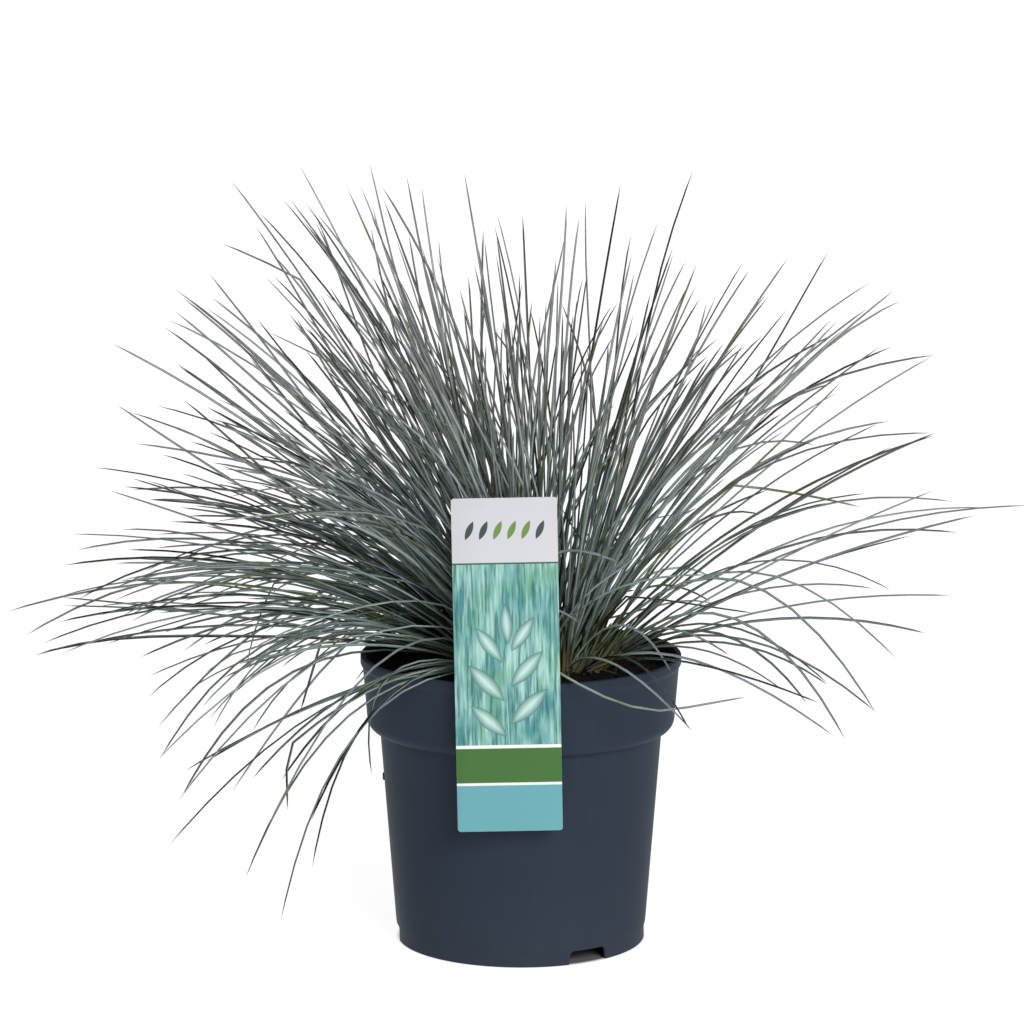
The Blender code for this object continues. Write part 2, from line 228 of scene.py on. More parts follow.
def cut_drainage(pot):
    """Cut the three notches in the foot, and the drain hole in the floor beside each."""
    for angle in NOTCH_ANGLES:
        turn = math.radians(angle)
        outward = Vector((math.cos(turn), math.sin(turn), 0))
        bpy.ops.mesh.primitive_cube_add(size=1)
        notch = bpy.context.object
        notch.scale = (NOTCH_SIZE[0], NOTCH_SIZE[1], 2 * NOTCH_SIZE[2])
        settle(notch)
        bpy.ops.object.mode_set(mode="EDIT")
        pick(lambda face: face.normal.z > 0.9, "FACE")
        bpy.ops.transform.resize(value=(1, NOTCH_DRAFT, 1))
        pick(lambda edge: middle(edge).z > NOTCH_SIZE[2] / 2 and abs(middle(edge).y) > NOTCH_SIZE[1] / 3
             and abs(middle(edge).x) < MM, "EDGE")
        bpy.ops.mesh.bevel(offset=NOTCH_CORNER, segments=4)
        bpy.ops.object.mode_set(mode="OBJECT")
        notch.location = outward * FOOT_RADIUS
        notch.rotation_euler.z = turn
        cut_out(pot, notch)
        bpy.ops.mesh.primitive_cylinder_add(
            vertices=32, radius=DRAIN_RADIUS, depth=2 * FLOOR_TOP,
            location=outward * DRAIN_PLACE + Vector((0, 0, FLOOR_TOP)))
        cut_out(pot, bpy.context.object)


def moulded_polypropylene():
    """Dark blue-grey polypropylene from a lightly eroded steel mould: satin, with faint flow marks of
    about 110 mm, upright rub marks from being stacked, 2.4 mm apart, and a little dust low down."""
    finish, tree, shader = start_finish(
        "moulded polypropylene", Roughness=0.5, IOR=1.49, Specular_IOR_Level=0.04)
    place = add_node(tree, "TexCoord").outputs["Object"]
    flow = add_node(tree, "TexNoise", {"Vector": place, "Scale": 1 / (111 * MM), "Detail": 3}).outputs[0]
    colour = mix_colours(tree, flow, linear("#2a3340"), linear("#303a48"))
    upright = add_node(tree, "Mapping", {"Vector": place, "Scale": (1.0, 1.0, 0.12)}).outputs[0]
    rubs = add_node(tree, "TexNoise", {
        "Vector": upright, "Scale": 1 / (2.38 * MM), "Detail": 4, "Roughness": 0.7}).outputs[0]
    colour = mix_colours(tree, grade(tree, rubs, 0.6, 0.82, 0, 0.3), colour, linear("#434a52"))
    dust = add_node(tree, "TexNoise", {"Vector": place, "Scale": 1 / (18.2 * MM), "Detail": 6}).outputs[0]
    height = add_node(tree, "SeparateXYZ", {"Vector": place}).outputs["Z"]
    low_down = grade(tree, height, 50 * MM, 0, 0.05, 0.3)
    colour = mix_colours(tree, calculate(tree, "MULTIPLY", dust, low_down), colour, linear("#464848"))
    tree.links.new(colour, shader.inputs["Base Color"])
    # Mould grain of about 1 mm, over a slow waviness of about 8 mm
    grain = add_node(tree, "TexNoise", {"Vector": place, "Scale": 1 / MM, "Detail": 2}).outputs[0]
    waves = add_node(tree, "TexNoise", {"Vector": place, "Scale": 1 / (8.33 * MM), "Detail": 1}).outputs[0]
    relief = calculate(tree, "MULTIPLY_ADD", waves, 0.8, grain)
    bump = add_node(tree, "Bump", {"Height": relief, "Strength": 0.16, "Distance": 0.4 * MM})
    tree.links.new(bump.outputs[0], shader.inputs["Normal"])
    tree.links.new(grade(tree, flow, 0.3, 0.7, 0.44, 0.56), shader.inputs["Roughness"])
    return finish


pot = model_pot()
cut_drainage(pot)
settle(pot)
bpy.ops.object.shade_smooth_by_angle(angle=math.radians(32))
pot.data.materials.append(moulded_polypropylene())
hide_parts("pot")
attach(pot, "root")


# The soil
# A plug of dark, moist peat mix that fills the pot to about 15 mm below its rim. The top is crumbly,
# with loose peat crumbs on it, and a smear of peat has stuck to the outside of the pot.
SOIL_GAP = 0.3 * MM
SOIL_RADIUS = COLLAR_RADIUS - POT_WALL - SOIL_GAP
SOIL_EDGE = 157.5 * MM
SOIL_RINGS = 26
SOIL_SIDES = 112
CLOD_SIZE = 5.263 * MM
CLOD_RELIEF = 1.5 * MM
GRIT_SIZE = 2.5 * MM
GRIT_SHIFT = 0.9 * MM
GRIT_RELIEF = 0.5 * MM
CRUMB_COUNT = 1500
CRUMB_SIZES = (0.5 * MM, 2.2 * MM)
SMEAR_SIZE = 1.3 * MM
SMEAR_PLACES = [Vector((-81.1 * MM, -2 * MM, height * MM)) for height in (95.8, 96.9, 98, 99.1)]
chance = random.Random(11)


def soil_level(x, y):
    """The height of the soil's solid at a place, or beside the slot that the label's stem takes."""
    _, place, _, _ = nodes["soil"].ray_cast(Vector((x, y, 1)), Vector((0, 0, -1)))
    return max(place.z, SOIL_EDGE)


def model_soil():
    """A plug in the shape of the pot, with a top of close rings that is then made uneven."""
    bpy.ops.object.select_all(action="DESELECT")
    corner_radius = COLLAR_RADIUS - COLLAR_TAPER - COLLAR_CORNER
    outline = [
        (BODY_BASE_RADIUS - POT_WALL - 2 * MM, FLOOR_TOP + 0.2 * MM),
        (corner_radius - POT_WALL - 0.5 * MM, COLLAR_BASE + 2 * MM),
        (SOIL_RADIUS - COLLAR_TAPER - 0.4 * MM, COLLAR_BASE + COLLAR_CORNER),
        (SOIL_RADIUS, SOIL_EDGE),
        *[(SOIL_RADIUS * (1 - ring / SOIL_RINGS), SOIL_EDGE + MM) for ring in range(1, SOIL_RINGS)],
    ]
    bpy.ops.mesh.primitive_circle_add(
        vertices=SOIL_SIDES, radius=outline[0][0], fill_type="NGON", location=(0, 0, outline[0][1]))
    soil = bpy.context.object
    soil.name = "soil_plug"
    bpy.ops.object.mode_set(mode="EDIT")
    bpy.ops.mesh.select_mode(type="EDGE")
    for (radius, height), (next_radius, next_height) in zip(outline, outline[1:]):
        bpy.ops.mesh.extrude_edges_move(TRANSFORM_OT_translate={"value": (0, 0, next_height - height)})
        bpy.ops.transform.resize(value=(next_radius / radius, next_radius / radius, 1))
    bpy.ops.mesh.edge_face_add()
    bpy.ops.mesh.poke()
    bpy.ops.mesh.select_all(action="SELECT")
    bpy.ops.mesh.normals_make_consistent(inside=False)
    bpy.ops.object.mode_set(mode="OBJECT")
    settle(soil)
    for vert in soil.data.vertices:
        if vert.co.z < SOIL_EDGE - MM:
            continue
        spread = noise.noise_vector(vert.co / GRIT_SIZE)
        if vert.co.xy.length < SOIL_RADIUS - 2 * MM:
            vert.co.x += GRIT_SHIFT * spread.x
            vert.co.y += GRIT_SHIFT * spread.y
        inset = min(1, (SOIL_RADIUS - 1.5 * MM) / max(vert.co.xy.length, MM))
        level = soil_level(vert.co.x * inset, vert.co.y * inset)
        clods = noise.fractal(vert.co / CLOD_SIZE, 1.0, 2.1, 5)
        vert.co.z = level + CLOD_RELIEF * clods + GRIT_RELIEF * spread.z
    return soil


def model_crumb():
    """One peat crumb, a knobbly ball of unit size."""
    bpy.ops.mesh.primitive_ico_sphere_add(subdivisions=1, radius=1)
    crumb = bpy.context.object
    for vert in crumb.data.vertices:
        vert.co *= 1 + 0.3 * noise.noise(vert.co * 3)
    crumb.scale = (1, 0.8, 0.6)
    settle(crumb)
    return crumb


def mesh_arrays(piece):
    """A piece's vertices, its face corners in one row and its faces' corner counts, as arrays."""
    mesh = piece.data
    points = np.empty(len(mesh.vertices) * 3)
    mesh.vertices.foreach_get("co", points)
    corners = np.empty(len(mesh.loops), dtype=np.int32)
    mesh.loops.foreach_get("vertex_index", corners)
    counts = np.empty(len(mesh.polygons), dtype=np.int32)
    mesh.polygons.foreach_get("loop_total", counts)
    bpy.data.objects.remove(piece, do_unlink=True)
    return points.reshape(-1, 3), corners, counts


def join_copies(name, parts):
    """One smooth-shaded mesh object from many copies, each its points, corners, counts and growth."""
    shift = 0
    joined = []
    for points, corners, _, _ in parts:
        joined.append(corners + shift)
        shift += len(points)
    points = np.concatenate([part[0] for part in parts])
    counts = np.concatenate([part[2] for part in parts])
    growth = np.concatenate([part[3] for part in parts])
    mesh = bpy.data.meshes.new(name)
    mesh.vertices.add(len(points))
    mesh.vertices.foreach_set("co", points.ravel())
    mesh.loops.add(int(counts.sum()))
    mesh.loops.foreach_set("vertex_index", np.concatenate(joined).astype(np.int32))
    mesh.polygons.add(len(counts))
    mesh.polygons.foreach_set("loop_start", (np.cumsum(counts) - counts).astype(np.int32))
    mesh.polygons.foreach_set("loop_total", counts)
    mesh.polygons.foreach_set("use_smooth", np.ones(len(counts), dtype=bool))
    tint = mesh.attributes.new("growth", "FLOAT_COLOR", "POINT")
    tint.data.foreach_set("color", growth.ravel())
    mesh.update()
    mesh.validate()
    piece = bpy.data.objects.new(name, mesh)
    bpy.context.scene.collection.objects.link(piece)
    return piece


def scatter_crumbs():
    """Loose crumbs over the open soil, most of them small, and a few stuck to the pot's left side."""
    points, corners, counts = mesh_arrays(model_crumb())
    crumbs = []
    while len(crumbs) < CRUMB_COUNT:
        reach = (SOIL_RADIUS - 3 * MM) * math.sqrt(chance.random())
        turn = chance.uniform(0, 2 * math.pi)
        x, y = reach * math.cos(turn), reach * math.sin(turn)
        size = CRUMB_SIZES[0] + (CRUMB_SIZES[1] - CRUMB_SIZES[0]) * chance.random() ** 3
        place = np.array((x, y, soil_level(x, y) + 0.8 * MM))
        axis = Vector([chance.gauss(0, 1) for _ in range(3)]).normalized()
        tumble = np.array(Vector((0, 0, 1)).rotation_difference(axis).to_matrix())
        tone = np.full((len(points), 4), (chance.random(), chance.random(), 0, 1))
        crumbs.append((points @ tumble * size + place, corners, counts, tone))
    tone = np.full((len(points), 4), (0.3, 0, 0, 1))
    crumbs += [(points * SMEAR_SIZE + np.array(place), corners, counts, tone) for place in SMEAR_PLACES]
    return join_copies("soil_crumbs", crumbs)


def moist_peat():
    """Moist peat: near black, browner in patches of about 14 mm where it has dried, with a fibrous
    grain of 1 to 2 mm."""
    finish, tree, shader = start_finish("moist peat mix", Roughness=0.92, Specular_IOR_Level=0.25)
    place = add_node(tree, "TexCoord").outputs["Object"]
    damp = add_node(tree, "TexNoise", {"Vector": place, "Scale": 1 / (14.3 * MM), "Detail": 5}).outputs[0]
    colour = mix_colours(tree, grade(tree, damp, 0.35, 0.7), linear("#090807"), linear("#19130f"))
    fibres = add_node(tree, "TexNoise", {
        "Vector": place, "Scale": 1 / (1.43 * MM), "Detail": 3, "Distortion": 1.5}).outputs[0]
    colour = mix_colours(tree, grade(tree, fibres, 0.64, 0.77, 0, 0.8), colour, linear("#3c281c"))
    growth = add_node(tree, "Attribute", attribute_name="growth")
    tone = add_node(tree, "SeparateColor", {"Color": growth.outputs["Color"]}).outputs
    colour = mix_colours(tree, grade(tree, tone["Red"], 0.85, 1, 0, 0.7), colour, linear("#4b3220"))
    tree.links.new(colour, shader.inputs["Base Color"])
    relief = add_node(tree, "TexNoise", {"Vector": place, "Scale": 1 / (2 * MM), "Detail": 5}).outputs[0]
    bump = add_node(tree, "Bump", {"Height": relief, "Strength": 0.7, "Distance": MM})
    tree.links.new(bump.outputs[0], shader.inputs["Normal"])
    return finish


peat = moist_peat()
soil = model_soil()
crumbs = scatter_crumbs()
for piece in (soil, crumbs):
    piece.data.materials.append(peat)
    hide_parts("soil")
    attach(piece, "root")
settle(soil)
bpy.ops.object.shade_smooth_by_angle(angle=math.radians(60))


# The plant label
# One thin plastic card, printed on its front, that stands against the rim. Its flat stem is formed
# from the same sheet: behind the card it steps back over the rim and goes down into the soil.
CARD = (60 * MM, 0.8 * MM, 193 * MM)
CARD_CORNER = 1.8 * MM
CARD_CENTRE = Vector((-7.8 * MM, -95.7 * MM, 183.5 * MM))
CARD_TILT = math.radians(-1.1)
STEM_WIDTH = 18 * MM
STEM_JOIN = (78.5 * MM, 88.5 * MM)
STEM_STANDOFF = 8 * MM
STEM_LENGTH = 119 * MM
STEM_POINT = 9 * MM
# The print, in mm from the card's middle: for each leaf of the sprig, and the stalk first, whether it is
# a leaf, its middle, half its width, half its length, and its turn in degrees
SPRIG = [
    (0, (0, -32), 0.5, 36, 2), (1, (-11, -32), 4.6, 14, 48), (1, (12, -24), 4.8, 15, -46),
    (1, (-12, -10), 4.8, 15, 44), (1, (11, -2), 4.6, 14, -42), (1, (-10, 12), 4.2, 13, 36),
    (1, (9, 18), 4.0, 12, -34), (1, (0, 24), 3.6, 12, 4),
]
HEADING_LEAVES = {
    -20: "#3b4746", -12: "#3b4746", -4: "#6b8f3f", 4: "#6b8f3f", 12: "#6b8f3f", 20: "#3b4746"}
HEADING_HEIGHT = 78
INK_EDGE = 0.15


def model_label():
    """A cube thinned to a card with rounded corners, and a stem extruded from its back."""
    bpy.ops.mesh.primitive_cube_add(size=1)
    label = bpy.context.object
    label.name = "label_card"
    label.scale = CARD
    settle(label)
    bpy.ops.object.mode_set(mode="EDIT")
    pick(lambda edge: abs(edge.verts[0].co.y - edge.verts[1].co.y) > 0.5 * MM, "EDGE")
    bpy.ops.mesh.bevel(offset=CARD_CORNER, segments=4)
    for place, normal in (
        ((STEM_WIDTH / 2, 0, 0), (1, 0, 0)),
        ((-STEM_WIDTH / 2, 0, 0), (1, 0, 0)),
        ((0, 0, STEM_JOIN[0]), (0, 0, 1)),
        ((0, 0, STEM_JOIN[1]), (0, 0, 1)),
    ):
        bpy.ops.mesh.select_all(action="SELECT")
        bpy.ops.mesh.bisect(plane_co=place, plane_no=normal)
    pick(lambda face: face.normal.y > 0.9 and abs(middle(face).x) < STEM_WIDTH / 2
         and STEM_JOIN[0] < middle(face).z < STEM_JOIN[1], "FACE")
    bpy.ops.mesh.extrude_region_move(TRANSFORM_OT_translate={"value": (0, STEM_STANDOFF, 0)})
    bpy.ops.mesh.extrude_region_move(TRANSFORM_OT_translate={"value": (0, CARD[1], 0)})
    pick(lambda face: face.normal.z < -0.9 and middle(face).y > STEM_STANDOFF, "FACE")
    bpy.ops.mesh.extrude_region_move(TRANSFORM_OT_translate={"value": (0, 0, -STEM_LENGTH)})
    bpy.ops.mesh.extrude_region_move(TRANSFORM_OT_translate={"value": (0, 0, -STEM_POINT)})
    bpy.ops.transform.resize(value=(0.35, 1, 1))
    bpy.ops.object.mode_set(mode="OBJECT")
    rounding = label.modifiers.new("rounding", "BEVEL")
    rounding.width = 0.12 * MM
    rounding.segments = 2
    rounding.limit_method = "ANGLE"
    bpy.ops.object.modifier_apply(modifier=rounding.name)
    label.location = CARD_CENTRE
    label.rotation_euler.y = CARD_TILT
    settle(label)
    return label


def printed_leaf(tree, x, z, centre, half_width, half_length, turn):
    """How far inside a pointed leaf shape a place of the print is: 0 at its edge, 1 at its middle."""
    cosine, sine = math.cos(math.radians(turn)), math.sin(math.radians(turn))
    across = calculate(tree, "MULTIPLY_ADD", x, cosine / half_width,
                       -(centre[0] * cosine + centre[1] * sine) / half_width)
    across = calculate(tree, "ABSOLUTE", calculate(tree, "MULTIPLY_ADD", z, sine / half_width, across))
    up = calculate(tree, "MULTIPLY_ADD", x, -sine / half_length,
                   (centre[0] * sine - centre[1] * cosine) / half_length)
    up = calculate(tree, "MULTIPLY_ADD", z, cosine / half_length, up)
    edge = calculate(tree, "MULTIPLY_ADD", up, up, across)
    return calculate(tree, "SUBTRACT", 1.0, edge)


def printed_card():
    """Offset print under a thin varnish: a pale heading with a row of small leaves, a watery panel
    with a sprig of broad leaves, then a green and a light blue band between fine white lines."""
    finish, tree, shader = start_finish("varnished print on polypropylene card", Roughness=0.38, IOR=1.49)
    place = add_node(tree, "TexCoord").outputs["Object"]
    on_card = add_node(tree, "Mapping", {
        "Vector": place, "Location": CARD_CENTRE, "Rotation": (0, CARD_TILT, 0), "Scale": (MM, MM, MM),
    }, vector_type="TEXTURE").outputs[0]
    split = add_node(tree, "SeparateXYZ", {"Vector": on_card}).outputs
    x, z = split["X"], split["Z"]
    long_wash = add_node(tree, "Mapping", {"Vector": on_card, "Scale": (0.16, 1, 0.035)}).outputs[0]
    wash = add_node(tree, "TexNoise", {"Vector": long_wash, "Scale": 1.0, "Detail": 4}).outputs[0]
    panel = mix_colours(tree, grade(tree, wash, 0.36, 0.66), linear("#428b8c"), linear("#9accc3"))
    patches = add_node(tree, "TexNoise", {"Vector": on_card, "Scale": 0.05, "Detail": 2}).outputs[0]
    panel = mix_colours(tree, grade(tree, patches, 0.5, 0.75, 0, 0.7), panel, linear("#4f9658"))
    strokes = add_node(tree, "Mapping", {"Vector": on_card, "Scale": (0.7, 1, 0.05)}).outputs[0]
    strokes = add_node(tree, "TexNoise", {"Vector": strokes, "Scale": 1.0, "Detail": 2}).outputs[0]
    panel = mix_colours(tree, grade(tree, strokes, 0.55, 0.68, 0, 0.42), panel, linear("#cfe9dd"))
    panel = mix_colours(tree, grade(tree, strokes, 0.46, 0.35, 0, 0.75), panel, linear("#226461"))
    for leaf, centre, half_width, half_length, turn in SPRIG:
        shape = printed_leaf(tree, x, z, centre, half_width, half_length, turn)
        ink = mix_colours(tree, grade(tree, shape, 0, 0.9), linear("#286e68"), linear("#c6e5de"))
        panel = mix_colours(tree, grade(tree, shape, 0, 0.08, 0, 0.7 + 0.2 * leaf), panel, ink)
    colour = linear("#cfd0d5")
    # Each ink runs from its top edge down to the next, and the first is a thin rule
    for top, ink in (
        (59.4, linear("#2f5a30")), (58.5, panel), (-46.1, linear("#eef2ee")), (-48.0, linear("#386a26")),
        (-68.1, linear("#eef2ee")), (-69.6, linear("#62a3ac")),
    ):
        colour = mix_colours(tree, grade(tree, z, top + INK_EDGE, top - INK_EDGE), colour, ink)
    for centre, ink in HEADING_LEAVES.items():
        shape = printed_leaf(tree, x, z, (centre, HEADING_HEIGHT), 1.9, 6, -24)
        colour = mix_colours(tree, grade(tree, shape, 0, 0.1), colour, linear(ink))
    # The back is unprinted
    facing = add_node(tree, "SeparateXYZ", {
        "Vector": add_node(tree, "NewGeometry").outputs["Normal"]}).outputs["Y"]
    colour = mix_colours(tree, grade(tree, facing, -0.6, -0.5), colour, linear("#d9dbdc"))
    tree.links.new(colour, shader.inputs["Base Color"])
    # The sheet is a little wavy, about 22 mm from wave to wave
    waves = add_node(tree, "TexNoise", {"Vector": place, "Scale": 1 / (22.2 * MM), "Detail": 1}).outputs[0]
    bump = add_node(tree, "Bump", {"Height": waves, "Strength": 0.2, "Distance": 2 * MM})
    tree.links.new(bump.outputs[0], shader.inputs["Normal"])
    return finish


label = model_label()
bpy.ops.object.shade_smooth_by_angle(angle=math.radians(35))
label.data.materials.append(printed_card())
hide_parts("label")
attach(label, "root")


# The grass
# A dense crown of shoots. Each shoot has a papery, straw-coloured sheath at the soil, and its rolled
# needle leaves rise from it and arch outwards. A waxy bloom makes them blue-grey; some have lost it or
# died.
TUFT_COUNT = 48
# Along a leaf and a sheath one unit long: the stations, and how wide it is at each, before its point
LEAF_STATIONS = [0, 0.04, 0.1, 0.18, 0.27, 0.36, 0.45, 0.54, 0.63, 0.72, 0.81, 0.89, 0.96]
LEAF_TAPER = [0.75, 0.92, 1, 1, 1, 1, 1, 0.99, 0.97, 0.94, 0.89, 0.81, 0.64]
LEAF_SECTION = [(0, -1), (0.85, -0.35), (0.8, 0.75), (0, 0.2), (-0.8, 0.75), (-0.85, -0.35)]
LEAF_RADIUS = (0.58 * MM, 0.9 * MM)
SHEATH_STATIONS = [0, 0.12, 0.4, 0.7, 1]
SHEATH_TAPER = [0.8, 1, 0.85, 0.62, 0.3]
SHEATH_SIDES = 6
SHEATH_RADIUS = (1 * MM, 1.8 * MM)
SHEATH_HEIGHT = (14 * MM, 36 * MM)
BLADE_POINT = 1.05
SHADED_BASE = 80 * MM
GREEN_BASE = 100 * MM
DEAD_TIP = 0.96
LITTER_LENGTH = (18 * MM, 42 * MM)
CROWN = Vector((12 * MM, 8 * MM, 0))
CROWN_RADIUS = 44 * MM
# The leaves' middle lines stay in this room, clear of the label's, and off the soil inside the pot
LEAF_ROOM = np.array([(-300, -214.2, 4), (300, 214.8, 459)]) * MM
LABEL_ROOM = np.array([(-39.8, -98, 0), (24.2, -85, 282)]) * MM
LOWEST_IN_POT = 162 * MM
LOWEST_START = 58
TRIES = 40
# How many leaves a tuft has by the way that it points in the photo's view, in degrees up from the right.
# The photo looks down at a slope of VIEW_SLOPE
VIEW_SLOPE = 0.16
FULLNESS = {-60: 2, 35: 2, 46: 4, 50: 15, 59: 36, 66: 18, 74: 11, 90: 5, 98: 9, 110: 33, 120: 25,
            130: 26, 145: 29, 160: 30, 172: 26, 180: 13, 195: 6, 240: 6}
KINKED_SHARE = 0.07
GREEN_SHARE = 0.17
DEAD_SHARE = 0.02
FIRST_OUTER_TUFT = 28
SHOOTS = 6
SHOOT_SPREAD = 4.6 * MM
LEAF_SPREAD = 0.8 * MM
# The single leaves of these tufts hang pale over the front of the pot
PALE_TUFTS = (43, 44, 45)
PALE_TONE = 0.8
# Leaves that stand out singly, by tuft, in mm: one or two places on the arch of each, the place of its
# kink where it has one, and its tip
SINGLE_LEAVES = {
    13: [[(158, 5, 324), (242, -5, 350)], [(145, -15, 287), (238, -40, 309)]],
    20: [[(-181, 0, 224), (-238, -20, 229)], [(-165, -10, 224), (-223, -50, 237)]],
    21: [[(-171, -10, 235), (-259, -30, 209)], [(-167, -20, 221), (-230, -60, 205)]],
    27: [[(143, -45, 324), (177, -70, 342)], [(132, -70, 307), (165, -110, 312)]],
    28: [[(154, 20, 231), (261, 30, 239)], [(166, 25, 253), (259, 40, 256)],
         [(154, 10, 210), (210, 20, 207)], [(161, 25, 188), (244, 45, 175)]],
    29: [[(143, 35, 280), (222, 60, 302)], [(167, 40, 257), (250, 60, 295)],
         [(150, 50, 245), (226, 90, 282)]],
    38: [[(-196, 10, 217), (-292, -10, 184)], [(-165, 30, 205), (-242, 40, 208)],
         [(-173, 50, 184), (-279, 60, 194)]],
    39: [[(-188, -20, 205), (-276, -60, 189)], [(-146, -40, 217), (-194, -70, 216)],
         [(-180, -10, 197), (-270, -5, 201)], [(-166, -50, 198), (-260, -90, 192)],
         [(-133, -60, 204), (-180, -100, 196)]],
    40: [[(-110, -55, 195), (-211, -100, 178)], [(-134, -60, 195), (-205, -105, 131)],
         [(-136, -55, 190), (-176, -85, 145)], [(-118, -50, 195), (-170, -90, 171)],
         [(-104, -65, 189), (-161, -90, 183)], [(-86, -45, 192), (-114, -60, 194), (-127, -70, 151)]],
    41: [[(-105, -55, 186), (-153, -95, 145)], [(-98, -108, 170), (-186, -160, 137)],
         [(-105, -110, 169), (-175, -150, 140)], [(-107, -120, 166), (-193, -185, 101)],
         [(-102, -110, 167), (-150, -140, 128)], [(-95, -112, 167), (-131, -140, 145), (-130, -150, 112)]],
    42: [[(-95, -120, 161), (-151, -185, 83)], [(-86, -125, 158), (-132, -190, 59)],
         [(-85, -120, 160), (-116, -160, 82)], [(-77, -118, 167), (-117, -155, 107)],
         [(-96, -112, 167), (-134, -135, 126)], [(-85, -112, 158), (-84, -122, 126)]],
    43: [[(25, -94, 177), (48, -105, 167), (85, -112, 161), (127, -118, 170)]],
    44: [[(24, -58, 243), (58, -72, 238)], [(22, -64, 209), (34, -70, 203)]],
    45: [[(54, -96, 184), (96, -135, 154)], [(60, -56, 199), (86, -85, 177)]],
    46: [[(88, -90, 188), (176, -125, 149)], [(112, -55, 227), (203, -90, 154)]],
    47: [[(113, -60, 264), (135, -100, 271)], [(132, -60, 187), (175, -90, 171)],
         [(96, -100, 186), (167, -140, 171)], [(112, -55, 206), (185, -95, 140)],
         [(82, -48, 196), (120, -70, 184)]],
    48: [[(157, -30, 226), (260, -60, 264)], [(146, -25, 221), (226, -40, 249)],
         [(156, -40, 238), (235, -75, 281)], [(158, -15, 203), (251, -25, 211)],
         [(144, -45, 261), (196, -80, 280)], [(112, -46, 198), (175, -85, 171)],
         [(110, -38, 192), (164, -80, 158)], [(130, -52, 230), (215, -80, 184)]],
}


def model_blade(stations, taper, section):
    """A blade one unit long, upright, extruded station by station from its cross-section."""
    bpy.ops.object.select_all(action="DESELECT")
    bpy.ops.mesh.primitive_circle_add(vertices=len(section), radius=1, fill_type="NGON")
    blade = bpy.context.object
    for vert, (x, y) in zip(blade.data.vertices, section):
        vert.co = (x * taper[0], y * taper[0], 0)
    bpy.ops.object.mode_set(mode="EDIT")
    bpy.ops.mesh.select_mode(type="EDGE")
    for i in range(1, len(stations)):
        widening = taper[i] / taper[i - 1]
        bpy.ops.mesh.extrude_edges_move(
            TRANSFORM_OT_translate={"value": (0, 0, stations[i] - stations[i - 1])})
        bpy.ops.transform.resize(value=(widening, widening, 1), center_override=(0, 0, stations[i]))
    bpy.ops.mesh.extrude_edges_move(TRANSFORM_OT_translate={"value": (0, 0, BLADE_POINT - stations[-1])})
    bpy.ops.mesh.merge(type="CENTER")
    bpy.ops.mesh.select_all(action="SELECT")
    bpy.ops.mesh.normals_make_consistent(inside=False)
    bpy.ops.object.mode_set(mode="OBJECT")
    return blade


def direction(lean, turn):
    """A unit vector that leans so many degrees from upright, towards a compass angle from +X."""
    lean, turn = math.radians(lean), math.radians(turn)
    return Vector((math.sin(lean) * math.cos(turn), math.sin(lean) * math.sin(turn), math.cos(lean)))


def lean_and_turn(line):
    """How far a line leans from upright, and towards which compass angle, in degrees."""
    return math.degrees(line.angle(Vector((0, 0, 1)))), math.degrees(math.atan2(line.y, line.x))


def starting_lean(lean):
    """How far a leaf leans where it leaves the soil, by how far it leans in all, in degrees. One that
    hangs below level starts steeper again."""
    return LOWEST_START - 0.45 * (lean - 90) if lean > 90 else min(0.72 * lean, LOWEST_START)


def leaf_line(root, tip, straightness, bends, sways):
    """The points of a leaf's middle line, and the level direction across it: an arch that starts
    steeply, each step of it then bent some degrees down and sideways."""
    line = tip - root
    lean, turn = lean_and_turn(line)
    start = starting_lean(lean)
    start += (lean - start) * straightness
    # The arch is drawn towards a shoulder, which is further out on a leaf that leans more
    shoulder = np.array(root + direction(start, turn) * line.length * (0.44 + 0.15 * lean / 110))
    t = np.array([*LEAF_STATIONS, 1])[:, None]
    arch = np.array(root) * (1 - t) ** 2 + shoulder * 2 * t * (1 - t) + np.array(tip) * t ** 2
    across = np.array(direction(90, turn + 90))
    steps = np.diff(arch, axis=0)
    lengths = np.linalg.norm(steps, axis=1)[:, None]
    heading = steps / lengths
    upward = np.cross(heading, across)
    down = np.radians(bends)[:, None]
    aside = np.radians(sways)[:, None]
    heading = heading * np.cos(down) - upward * np.sin(down)
    heading = heading * np.cos(aside) + across * np.sin(aside)
    return np.vstack([arch[:1], arch[0] + np.cumsum(heading * lengths, axis=0)]), across


def clears(line, slack=0.6 * MM):
    """Whether a leaf's middle line misses the pot, the soil and the label, and stays in the box."""
    steps = np.diff(line, axis=0)
    fine = np.vstack([*[line[:-1] + steps * share for share in (0, 0.33, 0.67)], line[-1:]])
    x, y, z = fine.T
    radius = np.hypot(x, y)
    wall = (radius > SOIL_RADIUS - slack) & (radius < RIM_RADIUS + slack) & (z < POT_HEIGHT + slack)
    sunk = (radius < SOIL_RADIUS) & (z < LOWEST_IN_POT)
    at_label = ((fine > LABEL_ROOM[0]) & (fine < LABEL_ROOM[1])).all(axis=1)
    outside = ((fine < LEAF_ROOM[0]) | (fine > LEAF_ROOM[1])).any(axis=1)
    return not (wall | sunk | at_label | outside).any()


